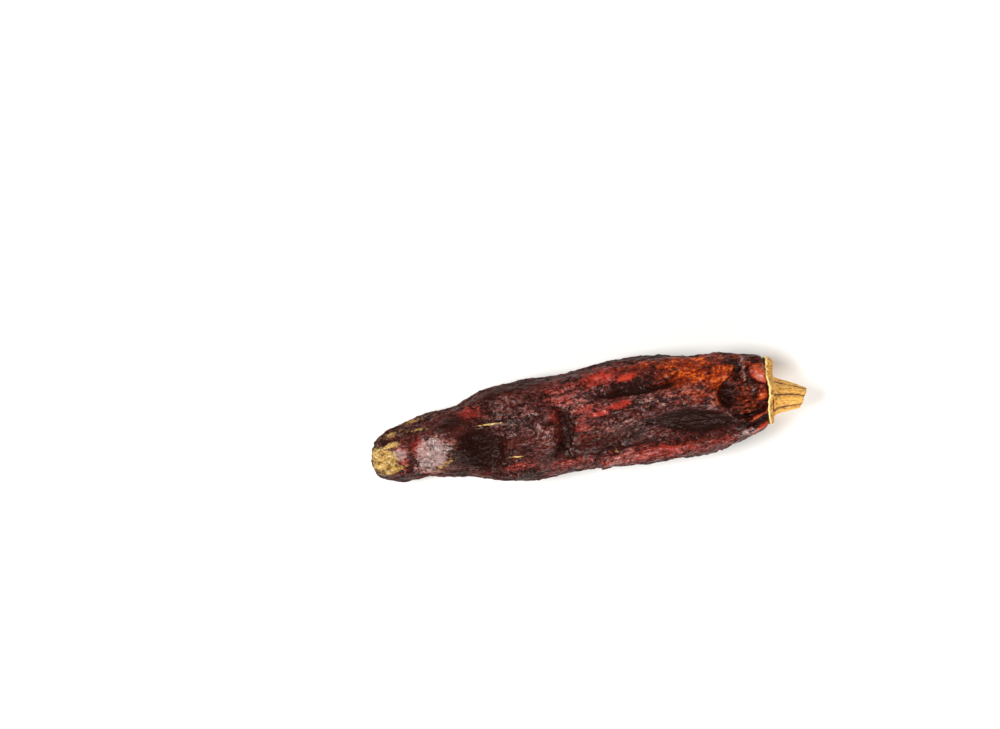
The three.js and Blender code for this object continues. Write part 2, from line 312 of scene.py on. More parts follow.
class ChilliSizes(bpy.types.PropertyGroup):
    """The sizes of the pepper's pieces, in millimetres."""

    pod_rings: IntProperty(name="Pod rings", description="Rings of faces along the pod", default=376, min=32)
    pod_sides: IntProperty(name="Pod sides", description="Faces round the pod", default=240, min=16)
    pod_smoothing: IntProperty(
        name="Pod smoothing", description="Rounds of smoothing over the drawn-out skin", default=24, min=0
    )
    wrinkle_depth: FloatProperty(
        name="Wrinkle depth",
        description="Depth of the fine wrinkles, as a share of usual",
        default=1.0,
        min=0,
    )
    calyx_lobes: IntProperty(name="Calyx lobes", description="Lobes round the calyx", default=5, min=3)
    calyx_rim: FloatProperty(name="Calyx rim", description="Pale part of the calyx's rim in mm", default=0.3)
    stem_ribs: IntProperty(name="Stem ribs", description="Ribs along the stem", default=7, min=3)
    stem_drop: FloatProperty(
        name="Stem drop", description="How far the stem's base is off the calyx's middle, in mm", default=1.0
    )
    stem_lean: FloatProperty(name="Stem lean", description="Sideways lean for each mm of stem", default=0.25)
    stem_slant: FloatProperty(name="Cut slant", description="Slope of the stem's cut end", default=0.58)
    base_skew: FloatProperty(
        name="Base skew", description="Slope of the calyx for each mm across", default=0.08
    )


class ChilliColours(bpy.types.PropertyGroup):
    """The colours of the pepper's finishes and of the table."""

    maroon: colour("Maroon", "Most of the dried skin", 0x40130E)
    # Soot is the darkest skin, and is also painted as shade on slopes turned from the light, along folds and
    # in hollows.
    dark_skin_and_shade: colour("Soot", "The darkest skin, in the folds", 0x1A0805)
    brown: colour("Brown", "Specks of dull skin between the folds", 0x66302A)
    crimson: colour("Crimson", "Where the skin dried red", 0xA42E22)
    rust: colour("Rust", "Fibrous skin near the shoulder", 0x742008)
    # Ember paints highlights on the crests of folds and glinting flecks in the rust.
    ember_and_highlight: colour("Ember", "The crests of the sharpest folds", 0xCC5A1C)
    # Bloom and haze are the waxy bloom, and are also painted sheen where facets catch the light.
    bloom_and_sheen: colour("Bloom", "The waxy bloom where it is thick", 0x967872)
    haze_and_sheen: colour("Haze", "The waxy bloom where it is thin", 0x985C50)
    straw: colour("Straw", "Bare fibre at the tip, and fine streaks", 0xB48E46)
    fibre: colour("Fibre", "The shade between the bare fibres", 0x76501E)
    # Pith is the palest fibre, and is also painted as a highlight on the crests of the bare tip.
    pith_and_highlight: colour("Pith", "The palest of the bare fibre", 0xE6CC94)
    calyx: colour("Calyx", "The calyx's face", 0xCC9034)
    cream: colour("Cream", "The calyx's rim and the stem's ribs", 0xEACA80)
    bark: colour("Bark", "The grooves in the calyx and the stem", 0x5C3810)
    stem: colour("Stem", "Most of the stem", 0xDC9F42)
    table: colour("Table", "The surface that the pepper lies on", 0xF6F4F0)


def sizes():
    return bpy.context.scene.chilli_sizes


def colours():
    return bpy.context.scene.chilli_colours


# ---------------------------------------------------------------- shaping


def smoothstep(value, low, high):
    """0 below low and 1 above high, eased in between."""
    t = np.clip((value - low) / (high - low), 0, 1)
    return t * t * (3 - 2 * t)


def rounded(path, rounds=2):
    """A path with its corners cut off, so that a fold along it curves."""
    points = np.array(path, float)
    for _ in range(rounds):
        near, far = points[:-1], points[1:]
        cut = np.stack([near * 0.75 + far * 0.25, near * 0.25 + far * 0.75], 1).reshape(-1, 2)
        points = np.concatenate([points[:1], cut, points[-1:]])
    return points


def beside(path, places):
    """How far each place is from a path, which side of it is, as 1 for left and -1 for right, and how
    far along the path the nearest point is, from 0 to 1."""
    points = rounded(path)
    steps = np.diff(points, axis=0)
    lengths = np.hypot(*steps.T)
    starts = np.concatenate([[0], np.cumsum(lengths)])
    nearest = np.full(len(places), np.inf)
    side = np.ones(len(places))
    share = np.zeros(len(places))
    for point, step, length, start in zip(points, steps, lengths, starts):
        ahead = places - point
        t = np.clip(ahead @ step / length**2, 0, 1)
        off = ahead - t[:, None] * step
        distance = np.hypot(*off.T)
        closer = distance < nearest
        nearest[closer] = distance[closer]
        turn = step[0] * ahead[:, 1] - step[1] * ahead[:, 0]
        side[closer] = np.where(turn[closer] >= 0, 1, -1)
        share[closer] = (start + t[closer] * length) / starts[-1]
    return nearest, side, share


def fold_height(fold, places):
    """How far a fold lifts each place, in mm. It fades out at the ends of its path."""
    distance, side, share = beside(fold.path, places)
    width = np.where(side > 0, fold.left, fold.right)
    fade = smoothstep(share, 0, FOLD_FADE) * smoothstep(1 - share, 0, FOLD_FADE)
    return fold.height * fade * np.exp(-((distance / width) ** fold.pinch))


def within(spot, places, flat):
    """1 in the middle of an oval spot and 0 well outside it."""
    ahead = places - np.array(spot.place)
    c, s = math.cos(math.radians(spot.turn)), math.sin(math.radians(spot.turn))
    along = (ahead[:, 0] * c + ahead[:, 1] * s) / spot.size[0]
    across = (ahead[:, 1] * c - ahead[:, 0] * s) / spot.size[1]
    return np.exp(-(np.hypot(along, across) ** flat))


def noise_at(points, scale, seed):
    """Smooth noise from about -1 to 1 at points in mm, where scale is the size in mm that a bump has
    along each axis."""
    spots = points / np.array(scale) + seed
    return np.array([noise.noise(Vector(p)) for p in spots])


def crinkle_at(points, scale, seed):
    """Noise with sharp crests and round hollows, from -1 to 0."""
    return -np.abs(noise_at(points, scale, seed)) * 1.6


def coordinates(bm):
    """Where the vertices are, in mm."""
    return np.array([v.co for v in bm.verts]) / MM


def normals(bm):
    """The way that each vertex faces."""
    bm.normal_update()
    return np.array([v.normal for v in bm.verts])


def place_all(bm, points):
    """Moves the vertices to points in mm."""
    for vert, point in zip(bm.verts, points):
        vert.co = Vector(point) * MM


def smooth(bm, rounds):
    for _ in range(rounds):
        bmesh.ops.smooth_vert(
            bm, verts=bm.verts, factor=0.5, use_axis_x=True, use_axis_y=True, use_axis_z=True
        )


def lathe(profile, steps, centre):
    """A closed surface turned about X from [x, radius] points in mm, whose ends are on the axis."""
    bm = bmesh.new()
    verts = [bm.verts.new((x * MM, radius * MM, 0)) for x, radius in profile]
    edges = [bm.edges.new(pair) for pair in zip(verts, verts[1:])]
    bmesh.ops.spin(
        bm, geom=verts + edges, cent=(0, 0, 0), axis=(1, 0, 0), angle=math.tau, steps=steps, use_merge=True
    )
    bmesh.ops.remove_doubles(bm, verts=bm.verts, dist=1e-7)
    bmesh.ops.recalc_face_normals(bm, faces=bm.faces)
    bmesh.ops.translate(bm, verts=bm.verts, vec=centre)
    return bm


def resampled(profile, count):
    """The same profile with its corners rounded and its points evenly spaced."""
    points = rounded(profile, 3)
    walked = np.concatenate([[0], np.cumsum(np.hypot(*np.diff(points, axis=0).T))])
    evenly = np.linspace(0, walked[-1], count)
    return np.stack([np.interp(evenly, walked, points[:, 0]), np.interp(evenly, walked, points[:, 1])], 1)


def finished(bm, name, node, material, attributes):
    """Makes the mesh an object of the model that stands for its CAD node."""
    bm.normal_update()
    mesh = bpy.data.meshes.new(name)
    bm.to_mesh(mesh)
    bm.free()
    mesh.shade_smooth()
    mesh.materials.append(material)
    for label, values in attributes.items():
        layer = mesh.attributes.new(label, "FLOAT", "POINT")
        layer.data.foreach_set("value", np.asarray(values, np.float32))
    piece = bpy.data.objects.new(name, mesh)
    bpy.context.scene.collection.objects.link(piece)
    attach(piece, "root")
    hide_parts(node)


# ---------------------------------------------------------------- materials


def add(tree, kind, links=None, **settings):
    """Adds a node, with its settings, and with its inputs set or linked."""
    node = tree.nodes.new(kind)
    for name, value in settings.items():
        setattr(node, name, value)
    for name, value in (links or {}).items():
        if isinstance(value, bpy.types.NodeSocket):
            tree.links.new(value, node.inputs[name])
        else:
            node.inputs[name].default_value = value
    return node


def blank(name):
    """A new material with only its output, and the tree that it is drawn in."""
    material = bpy.data.materials.new(name)
    material.use_nodes = True
    material.node_tree.nodes.clear()
    return material, material.node_tree


def millimetres(tree, stretch=(1, 1, 1), warp=0.0, warp_size=4.0):
    """Object coordinates in mm, each axis multiplied by stretch, and swayed by up to warp mm."""
    place = add(tree, "ShaderNodeTexCoord").outputs["Object"]
    place = add(tree, "ShaderNodeVectorMath", {0: place, "Scale": 1 / MM}, operation="SCALE").outputs[0]
    if warp:
        sway = add(tree, "ShaderNodeTexNoise", {"Vector": place, "Scale": 1 / warp_size, "Detail": 2.0})
        middle = (0.5, 0.5, 0.5)
        sway = add(tree, "ShaderNodeVectorMath", {0: sway.outputs["Color"], 1: middle}, operation="SUBTRACT")
        sway = add(tree, "ShaderNodeVectorMath", {0: sway.outputs[0], "Scale": warp * 2}, operation="SCALE")
        place = add(tree, "ShaderNodeVectorMath", {0: place, 1: sway.outputs[0]}, operation="ADD").outputs[0]
    return add(tree, "ShaderNodeVectorMath", {0: place, 1: stretch}, operation="MULTIPLY").outputs[0]


def grain(tree, place, size, detail, roughness=0.55):
    """Noise from 0 to 1 whose bumps are about size mm."""
    links = {"Vector": place, "Scale": 1 / size, "Detail": detail, "Roughness": roughness}
    return add(tree, "ShaderNodeTexNoise", links).outputs[0]


def sums(tree, operation, a, b, c=0.0):
    """The result of a sum, which for MULTIPLY_ADD is a times b plus c."""
    return add(tree, "ShaderNodeMath", {0: a, 1: b, 2: c}, operation=operation).outputs[0]


def between(tree, value, low, high, out_low=0.0, out_high=1.0):
    """value, eased from out_low at low to out_high at high."""
    links = {"Value": value, "From Min": low, "From Max": high, "To Min": out_low, "To Max": out_high}
    return add(tree, "ShaderNodeMapRange", links, interpolation_type="SMOOTHSTEP").outputs[0]


def mixed(tree, share, a, b):
    """Colour b over colour a."""
    node = add(tree, "ShaderNodeMix", data_type="RGBA")
    for socket, value in ((node.inputs[0], share), (node.inputs[6], a), (node.inputs[7], b)):
        if isinstance(value, bpy.types.NodeSocket):
            tree.links.new(value, socket)
        else:
            socket.default_value = value
    return node.outputs[2]


def rgba(values):
    return (*values, 1.0)


def attribute(tree, name):
    """A mask that is stored on the mesh."""
    return add(tree, "ShaderNodeAttribute", attribute_name=name).outputs["Fac"]


def dried_chilli_skin():
    """Dried capsicum skin: a thin waxy cuticle shrunk over collapsed flesh. It is near black where it
    is folded, partly as painted shade along its folds and in its hollows, and red where light comes
    through thin flesh. Its satin gloss is broken up by fine crinkles 0.3 to 0.6 mm apart, and painted
    sheen, highlights and glints lighten its bloom, its crests and fine flecks."""
    tints = colours()
    material, tree = blank("dried_chilli_skin")
    clouds = grain(tree, millimetres(tree, (0.5, 1, 1), warp=1.1, warp_size=5), 3.0, 3)
    lengthwise = millimetres(tree, (0.42, 1, 1), warp=0.9, warp_size=3)
    streaks = grain(tree, lengthwise, 0.9, 5, 0.65)
    crinkles = grain(tree, millimetres(tree, (0.75, 1, 1), warp=0.4, warp_size=2), 0.42, 4, 0.65)
    specks = grain(tree, millimetres(tree), 0.2, 2)
    fibres = grain(tree, millimetres(tree, (0.7, 1.3, 1), warp=1.2, warp_size=2.5), 0.5, 3, 0.6)
    crest = attribute(tree, "crest")
    both = sums(tree, "MULTIPLY_ADD", crinkles, 0.8, sums(tree, "MULTIPLY", streaks, 0.8))
    mottle = sums(tree, "SUBTRACT", both, 0.8)

    def masked(name, sway, low, high):
        """A patch whose edge and middle the mottling breaks up."""
        value = sums(tree, "MULTIPLY_ADD", mottle, sway, attribute(tree, name))
        reach = between(tree, attribute(tree, name), 0.02, 0.2)
        return sums(tree, "MULTIPLY", between(tree, value, low, high), reach)

    tone = sums(tree, "MULTIPLY_ADD", clouds, 0.9, mottle)
    skin = mixed(tree, between(tree, tone, 0.3, 0.58), rgba(tints.dark_skin_and_shade), rgba(tints.maroon))
    dull = between(tree, clouds, 0.3, 0.6, 0.15, 0.8)
    dull = sums(tree, "MULTIPLY", between(tree, crinkles, 0.5, 0.66), dull)
    skin = mixed(tree, dull, skin, rgba(tints.brown))
    red = sums(tree, "MULTIPLY", masked("crimson", 1.8, 0.05, 0.95), 0.9)
    skin = mixed(tree, red, skin, rgba(tints.crimson))
    skin = mixed(tree, masked("rust", 3.0, 0.12, 0.85), skin, rgba(tints.rust))
    # Painted glints: bright ember flecks scattered through the rust.
    skin = mixed(tree, sums(tree, "MULTIPLY", masked("rust", 5.5, 0.85, 1.6), 0.9), skin, rgba(tints.ember_and_highlight))
    # Soot patches: dark skin, partly painted shade on slopes turned away from the light.
    skin = mixed(tree, masked("dark_skin_and_shade", 1.6, 0.15, 0.95), skin, rgba(tints.dark_skin_and_shade))
    # Waxy bloom, partly painted sheen: paler where the facets catch the key light.
    wax_and_sheen = mixed(tree, between(tree, attribute(tree, "bloom_and_sheen"), 0.4, 0.8), rgba(tints.haze_and_sheen), rgba(tints.bloom_and_sheen))
    skin = mixed(tree, sums(tree, "MULTIPLY", masked("bloom_and_sheen", 4.0, 0.1, 1.2), 0.9), skin, wax_and_sheen)
    # Painted shade: the hollows of the wrinkles are darkened with soot.
    hollow = between(tree, crest, -0.15, -1.0)
    skin = mixed(tree, sums(tree, "MULTIPLY", hollow, 0.6), skin, rgba(tints.dark_skin_and_shade))
    # Painted highlight: ember on the crests of the folds, most where the skin is red or rusty.
    warm = sums(tree, "MULTIPLY_ADD", attribute(tree, "crimson"), 0.4, attribute(tree, "rust"))
    ridge = sums(tree, "MULTIPLY", between(tree, crest, 0.3, 1.1), between(tree, warm, 0.2, 0.6, 0.04, 0.6))
    ridge = sums(tree, "MULTIPLY", ridge, between(tree, crinkles, 0.35, 0.6))
    skin = mixed(tree, ridge, skin, rgba(tints.ember_and_highlight))
    bare = mixed(tree, between(tree, fibres, 0.36, 0.56, 0.1, 1), rgba(tints.fibre), rgba(tints.straw))
    pale = between(tree, sums(tree, "SUBTRACT", fibres, mottle), 0.46, 0.7, 0, 0.7)
    bare = mixed(tree, pale, bare, rgba(tints.pith_and_highlight))
    bare = mixed(tree, between(tree, crinkles, 0.44, 0.34, 0, 0.75), bare, rgba(tints.maroon))
    # Painted highlight on the crests of the bare fibre, and painted shade in its hollows.
    bare = mixed(tree, between(tree, crest, 0.4, 1.1, 0, 0.8), bare, rgba(tints.pith_and_highlight))
    bare = mixed(tree, between(tree, crest, -0.2, -1.2, 0, 0.8), bare, rgba(tints.fibre))
    skin = mixed(tree, masked("straw", 1.6, 0.1, 0.8), skin, bare)
    # Fine pale flecks of haze, partly painted glints of the fine crinkles.
    flecks_and_glints = sums(tree, "MULTIPLY", between(tree, specks, 0.7, 0.76), 0.6)
    skin = mixed(tree, flecks_and_glints, skin, rgba(tints.haze_and_sheen))

    gloss = between(tree, streaks, 0.38, 0.62, 0.0, 0.36)
    gloss = sums(tree, "MULTIPLY_ADD", attribute(tree, "bloom_and_sheen"), 0.75, gloss)
    for finish, least in (("dark_skin_and_shade", 0.15), ("rust", 0.4), ("side", 0.2)):
        gloss = sums(tree, "MULTIPLY", gloss, between(tree, attribute(tree, finish), 0.1, 0.8, 1.0, least))
    rough = between(tree, streaks, 0.35, 0.65, 0.34, 0.2)
    rough = sums(tree, "MULTIPLY_ADD", attribute(tree, "dark_skin_and_shade"), 0.1, rough)
    rough = sums(tree, "MULTIPLY_ADD", attribute(tree, "rust"), 0.12, rough)
    rough = sums(tree, "MULTIPLY_ADD", attribute(tree, "side"), 0.25, rough)
    rough = sums(tree, "MULTIPLY_ADD", attribute(tree, "straw"), 0.4, rough)
    cells = {"Vector": lengthwise, "Scale": 1 / 0.8, "Smoothness": 0.4}
    cells = add(tree, "ShaderNodeTexVoronoi", cells, feature="SMOOTH_F1").outputs["Distance"]
    pimples = grain(tree, millimetres(tree, (0.8, 1, 1), warp=0.3, warp_size=1.5), 0.45, 1.2)
    height = sums(tree, "MULTIPLY", pimples, 0.85)
    height = sums(tree, "MULTIPLY_ADD", grain(tree, lengthwise, 1.0, 2), 0.9, height)
    height = sums(tree, "MULTIPLY_ADD", cells, -0.35, height)
    height = sums(tree, "MULTIPLY_ADD", specks, 0.08, height)
    bump = add(tree, "ShaderNodeBump", {"Strength": 1.0, "Distance": 0.2 * MM, "Height": height})
    shader = add(
        tree,
        "ShaderNodeBsdfPrincipled",
        {
            "Base Color": skin,
            "Roughness": rough,
            "Normal": bump.outputs[0],
            "IOR": 1.45,
            "Specular IOR Level": 0.1,
            "Coat Weight": gloss,
            "Coat Roughness": 0.2,
            "Coat Normal": bump.outputs[0],
            "Specular Tint": (1.0, 0.66, 0.58, 1.0),
        },
    )
    add(tree, "ShaderNodeOutputMaterial", {"Surface": shader.outputs[0]})
    return material


def dried_straw(name, tint):
    """Dried calyx and stalk: woody fibres with no gloss, paler on their ridges and brown between them."""
    tints = colours()
    material, tree = blank(name)
    along = millimetres(tree, (0.22, 1, 1), warp=0.4, warp_size=3)
    fibres = grain(tree, along, 0.28, 4, 0.6)
    mottle = grain(tree, millimetres(tree), 1.1, 3)
    fine = grain(tree, millimetres(tree, (0.4, 1, 1), warp=0.3), 0.26, 2)
    groove = attribute(tree, "groove")
    rim = attribute(tree, "rim")
    skin = mixed(tree, between(tree, fibres, 0.45, 0.8, 0, 0.7), tint, rgba(tints.cream))
    skin = mixed(tree, between(tree, mottle, 0.5, 0.8, 0, 0.6), skin, tint)
    skin = mixed(tree, between(tree, fine, 0.5, 0.36, 0, 0.6), skin, rgba(tints.bark))
    brown = sums(tree, "MULTIPLY_ADD", sums(tree, "SUBTRACT", fibres, 0.5), -1.4, groove)
    skin = mixed(tree, between(tree, brown, 0.1, 0.9, 0, 0.95), skin, rgba(tints.bark))
    skin = mixed(tree, between(tree, rim, 0.3, 0.8), skin, rgba(tints.cream))
    height = sums(tree, "MULTIPLY_ADD", fine, 0.35, fibres)
    bump = add(tree, "ShaderNodeBump", {"Strength": 1.0, "Distance": 0.14 * MM, "Height": height})
    rough = between(tree, mottle, 0.3, 0.7, 0.6, 0.8)
    shader = add(
        tree,
        "ShaderNodeBsdfPrincipled",
        {"Base Color": skin, "Roughness": rough, "Normal": bump.outputs[0], "IOR": 1.45},
    )
    add(tree, "ShaderNodeOutputMaterial", {"Surface": shader.outputs[0]})
    return material


def matt_board():
    """A matt white laminated board, with the least unevenness in its white."""
    material, tree = blank("matt_white_laminate")
    table = rgba(colours().table)
    cloud = grain(tree, millimetres(tree), 60, 2)
    shade = mixed(tree, between(tree, cloud, 0.2, 0.8, 0, 0.03), table, (0.6, 0.6, 0.6, 1))
    shader = add(tree, "ShaderNodeBsdfPrincipled", {"Base Color": shade, "Roughness": 0.9})
    add(tree, "ShaderNodeOutputMaterial", {"Surface": shader.outputs[0]})
    return material


# ---------------------------------------------------------------- the pod

TIP_REACH = 3.2  # mm from the pod's tip to where the line inside it starts
BASE_REACH = 5.0  # mm from its other end to the shoulder
BASE_TUCK = 1.0  # mm that the shoulder reaches into the hollow of the calyx
BASE_AT = (POD_HIGH.x - POD_LOW.x) / MM - 0.6  # mm from the pod's tip to where its base meets the calyx
BASE_FADE = 3.0  # mm before there over which the folds stop pushing the skin towards the calyx
TUCK_FADE = 2.0  # mm before there over which the shoulder starts to reach in
LINE_START = (-1.0, 0.25)  # the line inside the pod: mm across, and height as a share of the pod's
LINE_END = (-0.5, 0.5)
CREST_ROUNDS = 14  # rounds of smoothing that give the surface which crests are measured from
CREST_SCALE = 0.16  # mm that the skin stands out of that surface where the crest mask is 1


def drawn_out(rings, sides, rounds):
    """A fine skin drawn out onto the CAD pod from a line inside it, and smoothed over its facets."""
    solid = bmesh.new()
    solid.from_mesh(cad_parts["pod"].data)
    bmesh.ops.remove_doubles(solid, verts=solid.verts, dist=1e-6)
    tree = BVHTree.FromBMesh(solid)
    height = POD_HIGH.z - POD_LOW.z
    start = Vector((POD_LOW.x + TIP_REACH * MM, LINE_START[0] * MM, height * LINE_START[1]))
    end = Vector((POD_HIGH.x - BASE_REACH * MM, LINE_END[0] * MM, height * LINE_END[1]))
    straight = (end - start).length
    tip_arc = TIP_REACH * MM * math.pi / 2
    base_arc = BASE_REACH * MM * math.pi / 2
    bm = bmesh.new()
    bmesh.ops.create_uvsphere(
        bm, u_segments=sides, v_segments=rings, radius=1, matrix=Matrix.Rotation(math.radians(90), 4, "Y")
    )
    for vert in bm.verts:
        outward = Vector((0, vert.co.y, vert.co.z))
        outward = outward.normalized() if outward.length > 1e-6 else Vector((0, 0, 1))
        walked = math.acos(max(-1, min(1, -vert.co.x))) / math.pi * (tip_arc + straight + base_arc)
        if walked < tip_arc:
            origin, turn = start, math.pi / 2 * (1 - walked / tip_arc)
            ray = outward * math.cos(turn) - Vector((math.sin(turn), 0, 0))
        elif walked > tip_arc + straight:
            origin, turn = end, math.pi / 2 * (walked - tip_arc - straight) / base_arc
            ray = outward * math.cos(turn) + Vector((math.sin(turn), 0, 0))
        else:
            origin, ray = start.lerp(end, (walked - tip_arc) / straight), outward
        vert.co = tree.ray_cast(origin, ray)[0]
    solid.free()
    smooth(bm, rounds)
    return bm


def sculpt_folds(bm):
    """Presses the pod's own folds into its back, and says where shade is painted along them and where its
    sides are.
    """
    points = coordinates(bm)
    outward = normals(bm)
    places = points[:, :2] - np.array([POD_LOW.x / MM, 0])
    back = smoothstep(outward[:, 2], -0.1, 0.35)
    lift, shade = np.zeros(len(points)), np.zeros(len(points))
    for mound in MOUNDS:
        lift += mound.height * within(mound, places, mound.flat)
    for fold in FOLDS:
        height = fold_height(fold, places)
        lift += height
        shade = np.maximum(shade, height / fold.height * fold.shade)
    outward[:, 0] *= 1 - smoothstep(places[:, 0], BASE_AT - BASE_FADE, BASE_AT)
    points += outward * (lift * back)[:, None]
    place_all(bm, points)
    return places, back, shade * back, 1 - smoothstep(outward[:, 2], 0.0, 0.8)


def sculpt_wrinkles(bm, back, calm, crumple):
    """Runs random folds along the sides and the underside, and fine crinkles over it all. The calm places
    have few, and the crumpled ones have sharper ones."""
    points = coordinates(bm)
    outward = normals(bm)
    along = points[:, 0] - POD_LOW.x / MM
    middle = (POD_HIGH.z / 2) / MM
    angle = np.arctan2(points[:, 1], points[:, 2] - middle)
    chance = np.random.default_rng(WRINKLE_SEED)
    lift = np.zeros(len(points))
    for _ in range(WRINKLES):
        start, turn = chance.uniform(-2, 62), chance.uniform(-math.pi, math.pi)
        length, sway, rise = chance.uniform(5, 17), chance.uniform(-1.6, 1.6), chance.uniform(-1.5, 1.5)
        depth, width = chance.uniform(0.12, 0.42), chance.uniform(0.3, 0.75)
        path = [(start, 0), (start + length * 0.4, sway), (start + length, rise)]
        round_it = (angle - turn + math.pi) % math.tau - math.pi
        near = (np.abs(round_it) < WRINKLE_FADE) & (along > start - 3) & (along < start + length + 3)
        fold = Fold("wrinkle", path, -depth, width, width * 1.4, 1.7)
        lift[near] += fold_height(fold, np.stack([along[near], round_it[near] * GIRTH], 1))
    lift *= 1 - back * 0.75
    sway = np.stack([noise_at(points, SWAY_SIZE, seed) for seed in SWAY_SEEDS], 1)
    swayed = points + sway * SWAY
    lift += BUCKLES.depth * noise_at(swayed, BUCKLES.size, BUCKLES.seed) * (1 - back * 0.5)
    creases = crinkle_at(swayed, CREASES.size, CREASES.seed) + CREST_RISE
    fine = CREASES.depth * (1 - back * 0.3) * creases
    fine += CRINKLES.depth * (crinkle_at(swayed, CRINKLES.size, CRINKLES.seed) + CREST_RISE)
    fine += GRAIN.depth * noise_at(swayed, GRAIN.size, GRAIN.seed)
    crumpled = crumple * (crinkle_at(swayed, CRUMPLES.size, CRUMPLES.seed) + 0.3)
    lift += sizes().wrinkle_depth * (fine * (1 - 0.65 * calm) + CRUMPLES.depth * crumpled)
    outward[:, 0] *= 1 - smoothstep(along, BASE_AT - BASE_FADE, BASE_AT)
    points += outward * lift[:, None]
    points[:, 0] += BASE_TUCK * smoothstep(along, BASE_AT - TUCK_FADE, BASE_AT)
    points[:, 2] = np.maximum(points[:, 2], 0)
    place_all(bm, points)


def crest_of(bm):
    """How far each vertex stands out of the smoothed surface round it, as a share of CREST_SCALE. It is
    less than nothing in a hollow."""
    before = coordinates(bm)
    outward = normals(bm)
    copy = bm.copy()
    smooth(copy, CREST_ROUNDS)
    after = coordinates(copy)
    copy.free()
    return np.clip(((before - after) * outward).sum(1) / CREST_SCALE, -2, 2)


class CHILLI_OT_pod(bpy.types.Operator):
    """Adds the pod, with its folds and wrinkles and the colours of its skin"""

    bl_idname = "chilli.pod"
    bl_label = "Pod"

    def execute(self, context):
        size = sizes()
        bm = drawn_out(size.pod_rings, size.pod_sides, size.pod_smoothing)
        places, back, shade, side = sculpt_folds(bm)
        masks = {"side": side}
        for finish in FINISHES:
            strengths = [p.strength * within(p, places, p.crisp) for p in PATCHES if p.finish == finish]
            masks[finish] = np.max(strengths, axis=0) * back
        # The shade painted along the folds joins the soot mask, and the bloom and straw give way under it.
        masks["dark_skin_and_shade"] = np.maximum(masks["dark_skin_and_shade"], shade)
        for finish in ("bloom_and_sheen", "straw"):
            masks[finish] *= 1 - shade
        sculpt_wrinkles(bm, back, masks["dark_skin_and_shade"], masks.pop("crumple"))
        masks["crest"] = crest_of(bm)
        finished(bm, "pod_skin", "pod", dried_chilli_skin(), masks)
        return {"FINISHED"}


# ---------------------------------------------------------------- the calyx and the stem

CALYX_AT = 0.75  # mm from the CAD calyx's back edge to where the visual one's profile is measured from
CALYX_FIT = 0.98  # its radius as a share of the CAD calyx's
CALYX_CLEAR = 0.05  # mm that its rim keeps off the table
CALYX_RINGS, CALYX_SIDES = 90, 260
STEM_AT = 1.55  # mm from the CAD calyx's back edge to the stem's foot
STEM_LENGTH = 5.15  # mm
STEM_BASE_RADIUS = 2.85  # mm, past the flare that sinks into the calyx
STEM_END_RADIUS = 1.55  # mm
STEM_RINGS, STEM_SIDES = 110, 220


class CHILLI_OT_calyx(bpy.types.Operator):
    """Adds the calyx: a shallow dish with a scalloped rim, clasped over the pod's shoulder"""

    bl_idname = "chilli.calyx"
    bl_label = "Calyx"

    def execute(self, context):
        size = sizes()
        centre = (CALYX_LOW + CALYX_HIGH) / 2
        reach = (CALYX_HIGH.y - CALYX_LOW.y) / 2 / MM * CALYX_FIT
        oval = (CALYX_HIGH.z - CALYX_LOW.z) / (CALYX_HIGH.y - CALYX_LOW.y)
        profile = [
            (0.35, 0), (0.35, reach * 0.5), (0.2, reach * 0.8), (0.05, reach * 0.93), (-0.05, reach * 0.99),
            (0.15, reach * 1.01), (0.55, reach * 0.97), (0.85, reach * 0.87), (1.0, reach * 0.72),
            (1.1, reach * 0.58), (1.45, reach * 0.5), (1.5, 0),
        ]
        base = Vector((CALYX_LOW.x + CALYX_AT * MM, centre.y, centre.z))
        bm = lathe(resampled(profile, CALYX_RINGS), CALYX_SIDES, base)
        points = coordinates(bm)
        base = np.array(base) / MM
        ahead = points - base
        face = ahead[:, 0].copy()
        angle = np.arctan2(ahead[:, 2], ahead[:, 1])
        out = np.clip(np.hypot(ahead[:, 1], ahead[:, 2]) / reach, 0, 1.1)
        edge = smoothstep(out, 0.55, 1.0)
        lobes = np.cos(size.calyx_lobes * angle - 1.6) * edge
        circle = np.stack([np.cos(angle), np.sin(angle), out * 0], 1) * 5
        scallop = noise_at(circle, (0.5, 0.5, 0.5), 6.2) * edge
        veins = np.abs(np.sin(size.calyx_lobes * angle * 1.5 + 0.4 + scallop)) * smoothstep(out, 0.3, 0.6)
        stretch = 1 + 0.02 * lobes + 0.028 * scallop
        ahead[:, 1] *= stretch
        ahead[:, 2] *= stretch * oval
        bulge = np.exp(-(((angle - 0.45) / 0.6) ** 2)) * np.exp(-(((out - 0.86) / 0.2) ** 2))
        front = smoothstep(face, 0.1, 0.7)
        ahead[:, 0] += 0.14 * lobes + 0.2 * scallop + (0.5 * bulge - 0.2 * (1 - veins)) * front
        ahead[:, 0] += size.base_skew * ahead[:, 1]
        wear = noise_at(ahead, (0.7, 0.7, 0.7), 1.4)
        ahead += np.stack([wear * 0.08, wear * 0, wear * 0.04], 1)
        points = ahead + base
        points[:, 2] = np.maximum(points[:, 2], CALYX_CLEAR)
        place_all(bm, points)
        rim_mask = smoothstep(out, 0.88, 0.95) * smoothstep(size.calyx_rim - face, -0.1, 0.1)
        masks = {"rim": rim_mask, "groove": (1 - veins) * 0.7 * edge + 0.3 * (out < 0.5)}
        straw = dried_straw("dried_calyx", rgba(colours().calyx))
        finished(bm, "calyx_straw", "calyx", straw, masks)
        return {"FINISHED"}


